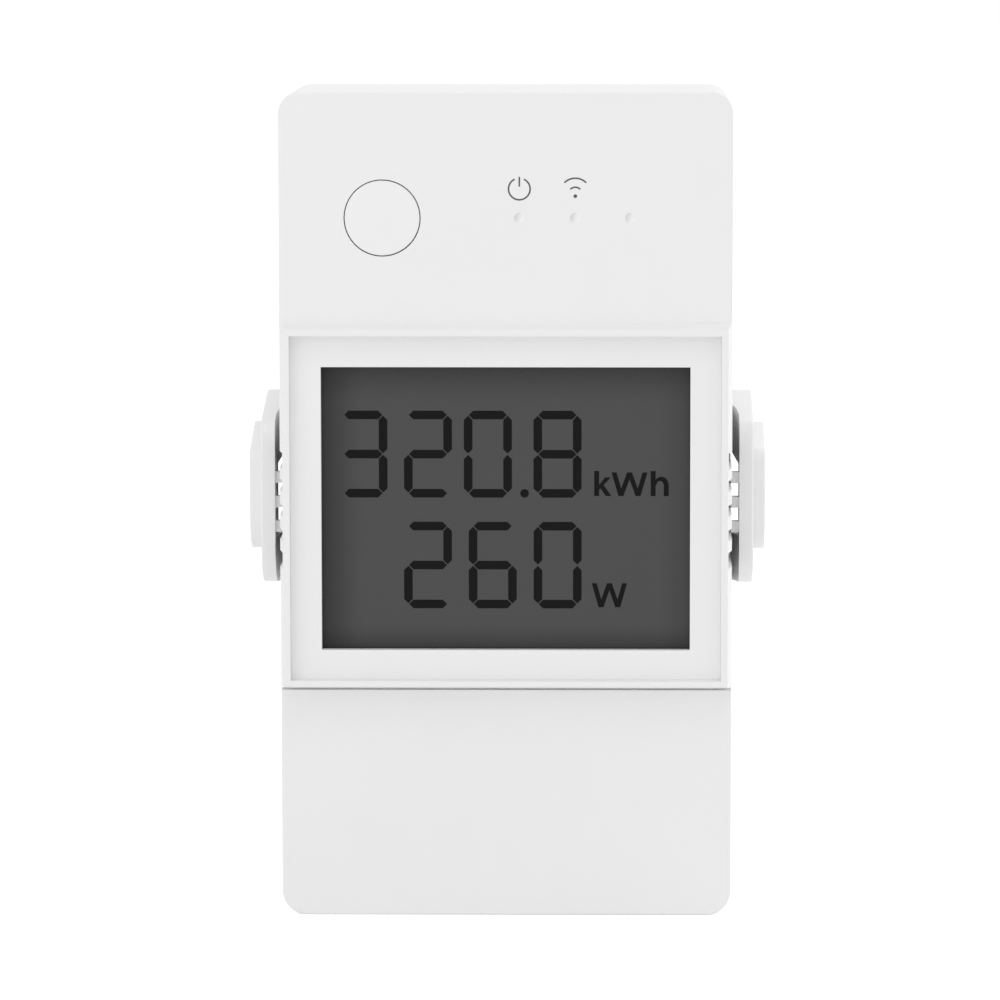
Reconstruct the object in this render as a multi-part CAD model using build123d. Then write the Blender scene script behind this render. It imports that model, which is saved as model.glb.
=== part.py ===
from build123d import *
import os

# Smart energy monitor. Millimetres. The back face lies on the wall at y = 0 and the front looks along -Y.
# "Depth" counts from the wall towards the front, "level" is the height z, zero at mid height.

# Case
body_width = 53.5
body_height = 98.0
body_depth = 31.0
block_rise = 3.3
parting_depth = 16.0
top_corner = 2.45
bottom_corner = 3.0
wall = 1.8
back_wall = 2.0
edge_round = 0.25
back_round = 0.5
parting_chamfer = 0.15
seam_height = 27.55
seam_gap = 0.4
overrun = 1.0
touch_gap = 0.1
snug_gap = 0.01
pick_margin = 0.01

# Ramp and raised display block
ramp_length = 5.5
ramp_rise = 0.5
block_top = 21.32
block_foot = 0.36
block_draft = 0.54
block_top_draft = 0.72
block_round = 0.2
recess_side = 0.79
recess_edge = 0.76
recess_depth = 1.6

# Display bezel and the display stack behind it
bezel_thickness = 1.2
bezel_side = 3.64
bezel_head = 3.77
bezel_foot = 3.52
glass_margin = 1.82
glass_thickness = 2.2
film_thickness = 0.2
film_margin = 0.6
bezel_to_film = 0.25
opening_gap = 0.5
contact_size = 0.36
contact_pitch = 2.0
contact_count = 18

# Display board
board_side_gap = 0.4
display_board_thickness = 1.2
backlight_thickness = 2.75
board_top_gap = 1.0
display_board_foot = 2.05
board_boss_radius = 1.9
board_screw_radius = 0.8
board_hole_radius = 1.0
board_screw_head_radius = 1.8
board_screw_head = 1.2
board_screw_length = 3.2
display_screw_low = (22.6, 24.0)
display_screw_high_x = 17.0
display_screw_high_drop = 5.0

# Power button and its switch
button_x = -14.53
button_drop = 14.76
button_radius = 4.44
button_gap = 0.1
button_flange_radius = 5.5
button_flange = 0.95
button_flange_gap = 0.15
button_stem_radius = 1.5
button_round = 0.15
switch_width = 6.0
switch_height = 1.3
switch_floor = 0.25
plunger_radius = 1.2
plunger_gap = 0.1
plunger_above = 0.5
plunger_below = 0.7
plunger_to_stem = 0.05

# Status lights
light_places = (1.63, 8.2, 14.7)
light_drop = 14.74
light_radius = 0.62
light_gap = 0.02
light_sink = 0.05
dimple_radius = 1.4
dimple_depth = 0.18
guide_margin = 1.6
guide_height = 2.2
guide_thickness = 1.2
guide_stub_radius = 0.9
guide_stub = 1.1
led_width = 1.6
led_height = 0.8
led_thickness = 0.7

# Chips and radio on the display board
controller_place = (-12.0, 8.0)
controller_size = 7.0
controller_thickness = 0.9
radio_x = 1.5
radio_drop = 14.5
radio_width = 18.0
radio_height = 13.0
radio_thickness = 0.8
can_width = 12.2
can_height = 11.0
can_thickness = 2.0
can_skin = 0.25
can_shift = 2.0

# Board-to-board header
header_x = 21.6
header_level = 8.0
header_width = 2.5
header_strip = 2.5
header_pin = 0.64
header_pitch = 2.54
header_count = 6

# Main board
main_board_depth = 5.5
main_board_thickness = 1.6
main_board_foot = 11.0
main_screw_x = 22.3
main_screw_high_drop = 22.0
main_screw_low_drop = 4.8
board_post_radius = 2.2

# Housing screws and their posts
post_size = 5.0
post_gap = 0.3
low_post_rise = 4.95
low_post_recess = 3.7
screw_radius = 1.1
screw_head_radius = 2.1
screw_head = 1.5
screw_seat_depth = 8.0
screw_point_cover = 1.6
screw_bore_gap = 0.15
thread_gap = 0.05
recess_cross = 0.5
recess_reach = 1.3
recess_sink = 0.7
well_gap = 0.2

# Wall fixing
wall_hole_x = 21.0
wall_hole_height = 5.5
wall_hole_radius = 2.15
wall_hole_sink_radius = 3.6
wall_hole_sink = 1.0
keyhole_drop = 13.5
keyhole_run = 5.0
keyhole_head_radius = 4.2
keyhole_neck_radius = 2.15
keyhole_skin = 1.3
keyhole_pocket = 3.3
keyhole_pad_wall = 1.8
keyhole_pad_depth = 5.2

# Relay
relay_x = -9.5
relay_foot = 2.05
relay_width = 20.0
relay_height = 16.0
relay_base_thickness = 1.6
relay_share = 0.8811
relay_case_wall = 0.8
relay_round = 0.4
yoke_width = 9.0
yoke_thickness = 1.0
yoke_foot = 0.7
yoke_share = 0.6643
yoke_clearance = 0.9
yoke_far_clearance = 1.5
armature_gap = 0.12
armature_thickness = 0.9
coil_end_reach = 0.6
coil_case_gap = 0.8
coil_arm_gap = 0.5
coil_end = 0.7
coil_clearance = 0.5
core_radius = 2.0
core_stick_out = 0.7

# Power supply and metering parts on the main board
transformer_x = 13.5
transformer_drop = 13.0
core_width = 13.0
core_height = 6.0
core_low_depth = 8.6
core_front_gap = 2.8
core_leg = 1.8
core_centre_leg = 4.4
winding_gap = 0.1
bobbin_height = 11.0
bobbin_wall = 1.7
bulk_x = -17.0
bulk_drop = 13.5
bulk_radius = 4.0
bulk_front_gap = 2.8
filter_x = -7.8
filter_drop = 11.5
filter_radius = 3.2
filter_front_gap = 5.3
can_groove = 0.3
can_groove_at = 2.0
film_place = (-12.0, 17.5)
film_width = 14.0
film_height = 6.5
film_front_gap = 3.8
part_round = 0.6
varistor_place = (3.0, 20.0)
varistor_share = 0.3357
varistor_thickness = 3.6
varistor_stand = 1.2
leg_radius = 0.4
leg_spread_share = 0.52
fuse_place = (12.5, 13.5)
fuse_radius = 4.2
fuse_front_gap = 6.5
shunt_x = 12.0
shunt_rise_from_seam = 10.45
shunt_width = 12.0
shunt_strip = 3.0
shunt_thickness = 0.8
shunt_rise = 4.5
shunt_foot = 2.2
meter_place = (9.0, 3.0)
meter_width = 10.0
meter_height = 5.0
meter_thickness = 1.5

# Wiring terminals
terminal_count = 4
terminal_pitch = 10.4
terminal_side = 0.6
terminal_foot = 12.5
terminal_height = 13.0
terminal_front_gap = 3.5
terminal_front_wall = 2.4
terminal_back_wall = 1.3
terminal_entry_wall = 3.0
terminal_far_wall = 1.2
terminal_round = 0.4
chamber_width = 7.8
wire_radius = 2.2
cage_skin = 0.75
release_width = 5.0
release_height = 6.2
release_gap = 0.12
release_stick_out = 1.6
release_flange = 0.9
release_flange_reach = 0.8
release_flange_gap = 0.1
release_foot = 0.4
release_travel = 1.9
release_round = 0.5

# Wiring slots in the bottom wall
slot_width = 7.6

# Terminal cover tongues
tongue_thickness = 1.0
tongue_reach = 2.0
tongue_foot = 5.0
tongue_height = 16.0

# Vent slots in the side walls
vent_level = -0.15
vent_pitch = 2.95
vent_height = 1.3
outer_vent_height = 1.9
vent_count = 5
vent_front_gap = 0.5
vent_notch_back = 21.0
vent_notch_skin = 0.35
vent_front_wall = 2.5
vent_back_wall = 2.0

# Vent hoods on the sides
hood_gap = 1.0
hood_plate = 1.71
hood_pad = 1.41
hood_front_depth = 21.4
hood_back_depth = 7.8
hood_front_high = 8.15
hood_brow_high = 9.6
hood_brow_depth = 20.4
hood_back_high = 12.32
hood_front_low = -5.22
hood_chin_low = -10.18
hood_chin_depth = 17.6
hood_back_low = -10.7
hood_back_corner = 0.5
hood_round = 0.3
pad_front_depth = 20.6
pad_back_depth = 10.2
pad_front_high = 4.7
pad_brow_high = 6.2
pad_brow_depth = 19.7
pad_back_high = 8.72
pad_front_low = -1.71
pad_chin_low = -6.1
pad_chin_depth = 17.4
pad_back_low = -7.0
hood_window_high = 5.15
hood_window_low = -4.6
hood_window_slant = 2.0
hood_window_flat = 0.25
hood_window_relief = 0.45
hood_relief_depth = 15.0
bridge_body_depth = 13.5
bridge_plate_depth = 18.5
fin_thickness = 1.35
fin_count = 3
fin_back_depth = 19.6
fin_front_depth = 20.9

half_width = body_width / 2
inner_half = half_width - wall
face_depth = body_depth - block_rise
inner_face = face_depth - wall

top_level = body_height / 2
bottom_level = -body_height / 2
inner_top = top_level - wall
inner_bottom = bottom_level + wall
seam_level = bottom_level + seam_height
cover_top = seam_level - seam_gap
crest_depth = face_depth + ramp_rise
crest_level = block_top + block_top_draft * (body_depth - crest_depth) / block_rise

block_bottom = seam_level + block_foot
block_width = body_width - 2 * block_draft
recess_width = block_width - 2 * recess_side
recess_top = block_top - recess_edge
recess_bottom = block_bottom + recess_edge
window_width = recess_width - 2 * bezel_side
window_top = recess_top - bezel_head
window_bottom = recess_bottom + bezel_foot
glass_width = window_width + 2 * glass_margin
glass_top = window_top + glass_margin
glass_bottom = window_bottom - glass_margin

bezel_back = body_depth - recess_depth - bezel_thickness
film_front = bezel_back - bezel_to_film
glass_front = film_front - film_thickness
glass_back = glass_front - glass_thickness
reflector_back = glass_back - film_thickness
display_board_front = reflector_back - backlight_thickness
display_board_depth = display_board_front - display_board_thickness
display_board_bottom = seam_level + display_board_foot
main_board_front = main_board_depth + main_board_thickness
main_board_bottom = bottom_level + main_board_foot
board_half = inner_half - board_side_gap
board_top = inner_top - board_top_gap
board_space = display_board_depth - main_board_front

post_x = inner_half - post_size / 2
top_post_level = inner_top - post_size / 2
low_post_level = seam_level + low_post_rise
low_post_end = inner_face - low_post_recess
screw_length = low_post_end - screw_seat_depth - screw_point_cover
display_screw_high = (display_screw_high_x, top_level - display_screw_high_drop)
main_screw_high = (main_screw_x, top_level - main_screw_high_drop)
main_screw_low = (main_screw_x, low_post_level - main_screw_low_drop)

button_level = top_level - button_drop
light_level = top_level - light_drop
radio_place = (radio_x, top_level - radio_drop)
keyhole_level = top_level - keyhole_drop
wall_hole_level = bottom_level + wall_hole_height

relay_place = (relay_x, seam_level + relay_foot + relay_height / 2)
relay_case_depth = main_board_front + board_space * relay_share
relay_inner_low = relay_place[1] - relay_height / 2 + relay_case_wall
relay_inner_high = relay_place[1] + relay_height / 2 - relay_case_wall
yoke_arm_level = relay_inner_high - yoke_clearance
yoke_low_level = relay_inner_low + yoke_far_clearance
yoke_top_depth = main_board_front + board_space * yoke_share
coil_back = main_board_front + relay_base_thickness + yoke_foot
coil_length = yoke_top_depth - coil_back - core_stick_out - coil_clearance
coil_low = relay_inner_low + coil_case_gap
coil_end_radius = (yoke_arm_level - yoke_thickness - coil_arm_gap - coil_low) / 2
coil_radius = coil_end_radius - coil_end_reach
transformer_place = (transformer_x, top_level - transformer_drop)
core_high_depth = display_board_depth - core_front_gap
bulk_place = (bulk_x, top_level - bulk_drop)
bulk_length = board_space - bulk_front_gap
filter_place = (filter_x, top_level - filter_drop)
filter_length = board_space - filter_front_gap
film_length = board_space - film_front_gap
varistor_radius = board_space * varistor_share
leg_spread = varistor_radius * leg_spread_share
fuse_length = board_space - fuse_front_gap
shunt_place = (shunt_x, seam_level + shunt_rise_from_seam)

terminal_bottom = bottom_level + terminal_foot
terminal_top = terminal_bottom + terminal_height
terminal_depth = inner_face - terminal_front_gap
terminal_inner = terminal_depth - terminal_front_wall
flange_front = terminal_inner - release_flange_gap
flange_back = flange_front - release_flange
cage_low = main_board_front + terminal_back_wall + touch_gap
cage_depth = flange_back - release_foot - release_travel - cage_low
wire_depth = cage_low + cage_depth / 2
tongue_low = bottom_level + tongue_foot
tongue_high = tongue_low + tongue_height

vent_front_depth = body_depth - vent_front_gap
vent_through_front = face_depth - vent_front_wall
vent_through_back = parting_depth + vent_back_wall


def span(x, depth, level):
    """Box between two x, two depths and two levels."""
    box = Box(x[1] - x[0], depth[1] - depth[0], level[1] - level[0])
    return Pos(sum(x) / 2, -sum(depth) / 2, sum(level) / 2) * box


def wide(width, depth, level):
    """Box centred on the middle of the device."""
    return span((-width / 2, width / 2), depth, level)


def chip(place, width, height, depth):
    """Box centred on a place, which is an x and a level."""
    x, level = place
    return span((x - width / 2, x + width / 2), depth, (level - height / 2, level + height / 2))


def rod(place, radius, depth):
    """Round bar along the depth."""
    face = Plane.XZ.offset(depth[0]) * Pos(*place) * Circle(radius)
    return extrude(face, amount=depth[1] - depth[0])


def slab(width, depth, level, upper_radius, lower_radius):
    """Box centred in x with its corners rounded, seen from the front."""
    shape = wide(width, depth, level)
    corners = shape.edges().filter_by(Axis.Y).group_by(Axis.Z)
    if upper_radius:
        shape = fillet(corners[-1], upper_radius)
    if lower_radius:
        corners = shape.edges().filter_by(Axis.Y).group_by(Axis.Z)
        shape = fillet(corners[0], lower_radius)
    return shape


def both_sides(shape):
    """The shape and its mirror image across the middle of the device."""
    return shape + mirror(shape, about=Plane.YZ)


def group(shapes):
    """Separate solids kept together as one sub-part."""
    return Compound([solid for shape in shapes for solid in shape.solids()])


def centred_steps(count, pitch):
    """Evenly spaced places about zero."""
    return [(index - (count - 1) / 2) * pitch for index in range(count)]


def side_outline(points, arcs, end_arcs=()):
    """Closed outline in the side view from depths and levels; arcs give the way out of a curved run's start or end."""
    run = Curve()
    places = [(-depth, level) for depth, level in points]
    for index, start in enumerate(places):
        end = places[(index + 1) % len(places)]
        if index in arcs:
            run += TangentArc(start, end, tangent=arcs[index])
        elif index in end_arcs:
            run += TangentArc(start, end, tangent=end_arcs[index], tangent_from_first=False)
        else:
            run += Line(start, end)
    return Plane.YZ * make_face(run)


def front_outer():
    """Upper slab with its ramp, and the drafted display block on it."""
    points = [
        (face_depth, crest_level + ramp_length),
        (crest_depth, crest_level),
        (face_depth, crest_level),
        (face_depth, seam_level),
        (parting_depth, seam_level),
        (parting_depth, top_level),
        (face_depth, top_level),
    ]
    shape = extrude(side_outline(points, {0: (0, -1)}), amount=half_width, both=True)
    corners = shape.edges().filter_by(Axis.Y).group_by(Axis.Z)
    shape = fillet(corners[-1], top_corner)
    rim = []
    for edge in shape.edges():
        middle = edge.center()
        at_front = middle.Y < -face_depth + pick_margin and middle.Z > crest_level + pick_margin
        across = abs(middle.X) < pick_margin and middle.Z < top_level - pick_margin
        if at_front and not across:
            rim.append(edge)
    return fillet(rim, edge_round) + display_block()


def display_block():
    """Frustum that carries the recess, with its front edge rounded."""
    base_level = (seam_level, block_top + block_top_draft)
    front_level = (block_bottom, block_top)
    faces = []
    for depth, width, level in ((face_depth, body_width, base_level), (body_depth, block_width, front_level)):
        face = Rectangle(width, level[1] - level[0])
        faces.append(Plane.XZ.offset(depth) * Pos(0, sum(level) / 2) * face)
    block = loft(faces, ruled=True)
    return fillet(block.faces().sort_by(Axis.Y)[0].edges(), block_round)


def side_vents():
    """Slots in the side walls: a blind notch up to the block's front, then a way into the case."""
    cuts = []
    for index, offset in enumerate(centred_steps(vent_count, vent_pitch)):
        height = outer_vent_height if index in (0, vent_count - 1) else vent_height
        level = (vent_level + offset - height / 2, vent_level + offset + height / 2)
        notch_x = (recess_width / 2 + vent_notch_skin, half_width + overrun)
        cuts.append(span(notch_x, (vent_notch_back, vent_front_depth), level))
        through_x = (inner_half - overrun, half_width + overrun)
        cuts.append(span(through_x, (vent_through_back, vent_through_front), level))
    return [both_sides(cut) for cut in cuts]


def post_places():
    """Screw posts: top pair, then the pair above the seam."""
    return [(side * post_x, level) for level in (top_post_level, low_post_level) for side in (-1, 1)]


def display_screw_places():
    return [(side * x, level) for x, level in (display_screw_low, display_screw_high) for side in (-1, 1)]


def main_screw_places():
    return [(side * x, level) for x, level in (main_screw_low, main_screw_high) for side in (-1, 1)]


def front_housing():
    shape = front_outer()
    inner_corner = top_corner - wall
    cavity = slab(
        2 * inner_half,
        (parting_depth - overrun, inner_face),
        (seam_level + wall, inner_top),
        inner_corner,
        0,
    )
    shape -= cavity
    recess = wide(recess_width, (bezel_back, body_depth + overrun), (recess_bottom, recess_top))
    shape -= recess
    opening = wide(
        glass_width + 2 * opening_gap,
        (inner_face - overrun, bezel_back + overrun),
        (glass_bottom - opening_gap, glass_top + opening_gap),
    )
    shape -= opening
    for cut in side_vents():
        shape -= cut
    shape -= rod((button_x, button_level), button_radius + button_gap, (inner_face - overrun, body_depth))
    for x in light_places:
        hole = rod((x, light_level), light_radius + light_gap, (inner_face - overrun, body_depth))
        shape -= hole
    for place in post_places():
        end = inner_face if place[1] > 0 else low_post_end
        low, high = place[1] - post_size / 2, place[1] + post_size / 2
        level = (low, inner_top) if place[1] > 0 else (seam_level + wall, high)
        x = sorted((place[0] - post_size / 2, place[0] + post_size / 2))
        shape += span(x, (parting_depth, end), level)
        pilot_end = screw_seat_depth + screw_length + thread_gap
        shape -= rod(place, screw_radius + thread_gap, (parting_depth - overrun, pilot_end))
    for place in display_screw_places():
        shape += rod(place, board_boss_radius, (display_board_front, inner_face))
        pilot_end = display_board_depth + board_screw_length + thread_gap
        shape -= rod(place, board_screw_radius + thread_gap, (display_board_front - overrun, pilot_end))
    return shape


def rear_outer():
    shape = slab(body_width, (0, parting_depth), (bottom_level, top_level), top_corner, bottom_corner)
    back = shape.faces().sort_by(Axis.Y)[-1]
    shape = fillet(back.edges(), back_round)
    front = shape.faces().sort_by(Axis.Y)[0]
    return chamfer(front.edges(), parting_chamfer)


def wiring_slots():
    """Round-ended slots in the bottom wall, open at the parting plane."""
    cuts = []
    for x in centred_steps(terminal_count, terminal_pitch):
        radius = slot_width / 2
        level = (bottom_level - overrun, inner_bottom + overrun)
        round_end = Pos(x, -wire_depth, sum(level) / 2) * Cylinder(radius, level[1] - level[0])
        straight = span((x - radius, x + radius), (wire_depth, parting_depth + overrun), level)
        cuts.append(round_end + straight)
    return cuts


def keyhole():
    """Head entry, neck slot and head pocket behind the back skin."""
    top = keyhole_level + keyhole_run
    entry = rod((0, keyhole_level), keyhole_head_radius, (-overrun, keyhole_skin))
    neck = rod((0, top), keyhole_neck_radius, (-overrun, keyhole_skin))
    neck += wide(2 * keyhole_neck_radius, (-overrun, keyhole_skin), (keyhole_level, top))
    pocket_span = (keyhole_skin, keyhole_skin + keyhole_pocket)
    pocket = rod((0, keyhole_level), keyhole_head_radius, pocket_span)
    pocket += rod((0, top), keyhole_head_radius, pocket_span)
    pocket += wide(2 * keyhole_head_radius, pocket_span, (keyhole_level, top))
    return entry + neck + pocket


def rear_housing():
    shape = rear_outer()
    cavity = slab(
        2 * inner_half,
        (back_wall, parting_depth + overrun),
        (inner_bottom, inner_top),
        top_corner - wall,
        bottom_corner - wall,
    )
    shape -= cavity
    for place in post_places():
        x = sorted((place[0] - post_size / 2, place[0] + post_size / 2))
        level = (place[1] - post_size / 2, place[1] + post_size / 2)
        shape += span(x, (back_wall, parting_depth), level)
        shape -= rod(place, screw_head_radius + well_gap, (-overrun, screw_seat_depth))
        shape -= rod(place, screw_radius + screw_bore_gap, (0, parting_depth + overrun))
    for place in main_screw_places():
        shape += rod(place, board_post_radius, (back_wall, main_board_depth))
        shape -= rod(place, board_screw_radius + thread_gap, (back_wall, main_board_depth + overrun))
    pad_reach = keyhole_head_radius + keyhole_pad_wall
    pad_level = (keyhole_level - pad_reach, keyhole_level + keyhole_run + pad_reach)
    shape += wide(2 * pad_reach, (back_wall, keyhole_pad_depth), pad_level)
    shape -= keyhole()
    for side in (-1, 1):
        place = (side * wall_hole_x, wall_hole_level)
        shape -= rod(place, wall_hole_radius, (-overrun, back_wall + overrun))
        sink_depth = back_wall - wall_hole_sink / 2
        sink = Cone(wall_hole_radius, wall_hole_sink_radius, wall_hole_sink)
        shape -= Pos(place[0], -sink_depth, place[1]) * Rot(90, 0, 0) * sink
    for cut in wiring_slots():
        shape -= cut
    return shape


def terminal_cover():
    shape = slab(body_width, (parting_depth, face_depth), (bottom_level, cover_top), 0, bottom_corner)
    rim = []
    for edge in shape.edges():
        middle = edge.center()
        if middle.Y < -face_depth + pick_margin and middle.Z < cover_top - pick_margin:
            rim.append(edge)
    shape = fillet(rim, edge_round)
    back = shape.faces().sort_by(Axis.Y)[-1]
    lower = [edge for edge in back.edges() if edge.center().Z < cover_top - pick_margin]
    shape = chamfer(lower, parting_chamfer)
    shape -= slab(
        2 * inner_half,
        (parting_depth - overrun, inner_face),
        (inner_bottom, cover_top + overrun),
        0,
        bottom_corner - wall,
    )
    outer_x = inner_half - touch_gap
    tongue = span(
        (outer_x - tongue_thickness, outer_x),
        (parting_depth - tongue_reach, inner_face),
        (tongue_low, tongue_high),
    )
    web = span(
        (outer_x - tongue_thickness, inner_half),
        (parting_depth + touch_gap, inner_face),
        (tongue_low, tongue_high),
    )
    return shape + both_sides(tongue + web)


def hood_plate_outline():
    points = [
        (hood_front_depth, hood_front_low),
        (hood_chin_depth, hood_chin_low),
        (hood_back_depth, hood_back_low),
        (hood_back_depth, hood_back_high),
        (hood_brow_depth, hood_brow_high),
        (hood_front_depth, hood_front_high),
    ]
    return side_outline(points, {0: (0, -1)}, {4: (0, 1)})


def hood_pad_outline():
    points = [
        (pad_front_depth, pad_front_low),
        (pad_chin_depth, pad_chin_low),
        (pad_back_depth, pad_back_low),
        (pad_back_depth, pad_back_high),
        (pad_brow_depth, pad_brow_high),
        (pad_front_depth, pad_front_high),
    ]
    return side_outline(points, {0: (0, -1)}, {4: (0, 1)})


def hood_bridge():
    """Block between the case and the plate, its front curved back towards the case."""
    inner_x = half_width + hood_gap
    bridge = Pos(half_width, 0, 0) * extrude(hood_plate_outline(), amount=hood_gap)
    bridge = fillet(bridge.edges().filter_by(Axis.X).group_by(Axis.Y)[-1], hood_back_corner)
    curve = TangentArc((inner_x, -bridge_plate_depth), (half_width, -bridge_body_depth), tangent=(0, 1))
    beyond = -hood_front_depth - overrun
    outline = curve + Polyline(
        (half_width, -bridge_body_depth), (half_width, beyond), (inner_x, beyond), (inner_x, -bridge_plate_depth)
    )
    level = hood_back_high - hood_back_low + 2 * overrun
    front = extrude(Pos(0, 0, hood_back_low - overrun) * make_face(outline), amount=level)
    return bridge - front


def hood_window():
    """Way through between the case and the plate, its upper end slanting down towards the plate."""
    outer_x = half_width + hood_gap + hood_window_relief
    outline = Polyline(
        (half_width - overrun, hood_window_low),
        (outer_x, hood_window_low),
        (outer_x, hood_window_high - hood_window_slant),
        (half_width + hood_window_flat, hood_window_high),
        (half_width - overrun, hood_window_high),
        close=True,
    )
    start = Plane.XZ.offset(hood_back_depth - overrun)
    return extrude(start * make_face(outline), amount=hood_relief_depth - hood_back_depth + overrun)


def right_vent_hood():
    """Plate and pad held off the side wall by two bridges, with fins across the open middle."""
    inner_x = half_width + hood_gap
    plate = Pos(inner_x, 0, 0) * extrude(hood_plate_outline(), amount=hood_plate)
    back_corners = plate.edges().filter_by(Axis.X).group_by(Axis.Y)[-1]
    plate = fillet(back_corners, hood_back_corner)
    outer_face = plate.faces().sort_by(Axis.X)[-1]
    plate = fillet(outer_face.edges(), hood_round)
    pad = Pos(inner_x + hood_plate, 0, 0) * extrude(hood_pad_outline(), amount=hood_pad)
    pad_corners = pad.edges().filter_by(Axis.X).group_by(Axis.Y)[-1]
    pad = fillet(pad_corners, hood_back_corner)
    pad = fillet(pad.faces().sort_by(Axis.X)[-1].edges(), hood_round)
    shape = plate + pad + hood_bridge()
    shape -= hood_window()
    front_x = (half_width - overrun, inner_x)
    shape -= span(front_x, (hood_relief_depth, hood_front_depth), (hood_window_low, hood_window_high))
    for offset in centred_steps(fin_count, vent_pitch):
        level = (vent_level + offset - fin_thickness / 2, vent_level + offset + fin_thickness / 2)
        shape += span((half_width, inner_x), (fin_back_depth, fin_front_depth), level)
    return shape


def left_vent_hood():
    return mirror(right_vent_hood(), about=Plane.YZ)


def display_bezel():
    shape = wide(
        recess_width - 2 * snug_gap,
        (bezel_back, bezel_back + bezel_thickness),
        (recess_bottom + snug_gap, recess_top - snug_gap),
    )
    window = wide(window_width, (bezel_back - overrun, body_depth), (window_bottom, window_top))
    return shape - window


def film(depth):
    level = (glass_bottom + film_margin, glass_top - film_margin)
    return wide(glass_width - 2 * film_margin, (depth, depth + film_thickness), level)


def display_polarizer():
    return film(glass_front)


def display_reflector():
    return film(reflector_back)


def display_glass():
    return wide(glass_width, (glass_back, glass_front), (glass_bottom, glass_top))


def display_backlight():
    shape = wide(glass_width, (display_board_front, reflector_back), (glass_bottom, glass_top))
    return fillet(shape.edges().filter_by(Axis.Y), part_round)


def display_contacts():
    level = (glass_bottom - opening_gap + touch_gap, glass_bottom - opening_gap + touch_gap + contact_size)
    pins = []
    for x in centred_steps(contact_count, contact_pitch):
        half = contact_size / 2
        pins.append(span((x - half, x + half), (display_board_front, glass_front - film_thickness), level))
    return group(pins)


def display_board():
    shape = wide(2 * board_half, (display_board_depth, display_board_front), (display_board_bottom, board_top))
    notch_x = (post_x - post_size / 2 - post_gap, half_width)
    around = (display_board_depth - overrun, display_board_front + overrun)
    low_end = low_post_level + post_size / 2 + post_gap
    high_end = top_post_level - post_size / 2 - post_gap
    shape -= both_sides(span(notch_x, around, (display_board_bottom - overrun, low_end)))
    shape -= both_sides(span(notch_x, around, (high_end, board_top + overrun)))
    for place in display_screw_places():
        shape -= rod(place, board_hole_radius, around)
    return shape


def button_cap():
    face_start = inner_face - button_flange_gap
    place = (button_x, button_level)
    disc = rod(place, button_radius, (face_start, face_depth))
    disc = fillet(disc.edges().group_by(Axis.Y)[0], button_round)
    flange_back = face_start - button_flange
    flange = rod(place, button_flange_radius, (flange_back, face_start))
    stem_end = display_board_front + switch_height + plunger_above + plunger_to_stem
    stem = rod(place, button_stem_radius, (stem_end, flange_back))
    return disc + flange + stem


def switch_body():
    place = (button_x, button_level)
    front = display_board_front + switch_height
    shape = chip(place, switch_width, switch_width, (display_board_front, front))
    shape = fillet(shape.edges().filter_by(Axis.Y), part_round)
    well = rod(place, plunger_radius + plunger_gap, (display_board_front + switch_floor, front + overrun))
    return shape - well


def switch_plunger():
    front = display_board_front + switch_height
    return rod((button_x, button_level), plunger_radius, (front - plunger_below, front + plunger_above))


def light_guide():
    """One clear moulding: a bar behind the front wall with a pipe for each light."""
    bar_front = inner_face - touch_gap
    bar_back = bar_front - guide_thickness
    bar_x = (light_places[0] - guide_margin, light_places[-1] + guide_margin)
    level = (light_level - guide_height / 2, light_level + guide_height / 2)
    shape = span(bar_x, (bar_back, bar_front), level)
    for x in light_places:
        end = face_depth - light_sink
        shape += rod((x, light_level), light_radius, (bar_front, end))
        shape += rod((x, light_level), guide_stub_radius, (bar_back - guide_stub, bar_back))
        ball_depth = end + dimple_radius - dimple_depth
        shape -= Pos(x, -ball_depth, light_level) * Sphere(dimple_radius)
    return shape


def status_lights():
    depth = (display_board_front, display_board_front + led_thickness)
    return group([chip((x, light_level), led_width, led_height, depth) for x in light_places])


def controller_chip():
    depth = (display_board_depth - controller_thickness, display_board_depth)
    return chip(controller_place, controller_size, controller_size, depth)


def radio_module():
    depth = (display_board_depth - radio_thickness, display_board_depth)
    return chip(radio_place, radio_width, radio_height, depth)


def radio_can():
    base = display_board_depth - radio_thickness
    place = (radio_place[0] - can_shift, radio_place[1])
    shape = chip(place, can_width, can_height, (base - can_thickness, base))
    shape = fillet(shape.edges().filter_by(Axis.Y), part_round)
    inside = chip(
        place,
        can_width - 2 * can_skin,
        can_height - 2 * can_skin,
        (base - can_thickness + can_skin, base + overrun),
    )
    return shape - inside


def header_strips():
    height = header_count * header_pitch
    place = (header_x, header_level)
    low = chip(place, header_width, height, (main_board_front, main_board_front + header_strip))
    high = chip(place, header_width, height, (display_board_depth - header_strip, display_board_depth))
    return group([low, high])


def header_pins():
    depth = (main_board_front + header_strip, display_board_depth - header_strip)
    pins = []
    for offset in centred_steps(header_count, header_pitch):
        pins.append(chip((header_x, header_level + offset), header_pin, header_pin, depth))
    return group(pins)


def main_board():
    shape = wide(2 * board_half, (main_board_depth, main_board_front), (main_board_bottom, board_top))
    around = (main_board_depth - overrun, main_board_front + overrun)
    notch_x = (post_x - post_size / 2 - post_gap, half_width)
    high_end = top_post_level - post_size / 2 - post_gap
    shape -= both_sides(span(notch_x, around, (high_end, board_top + overrun)))
    low = low_post_level - post_size / 2 - post_gap
    high = low_post_level + post_size / 2 + post_gap
    shape -= both_sides(span(notch_x, around, (low, high)))
    for place in main_screw_places():
        shape -= rod(place, board_hole_radius, around)
    return shape


def relay_base():
    depth = (main_board_front, main_board_front + relay_base_thickness)
    return chip(relay_place, relay_width, relay_height, depth)


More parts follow.
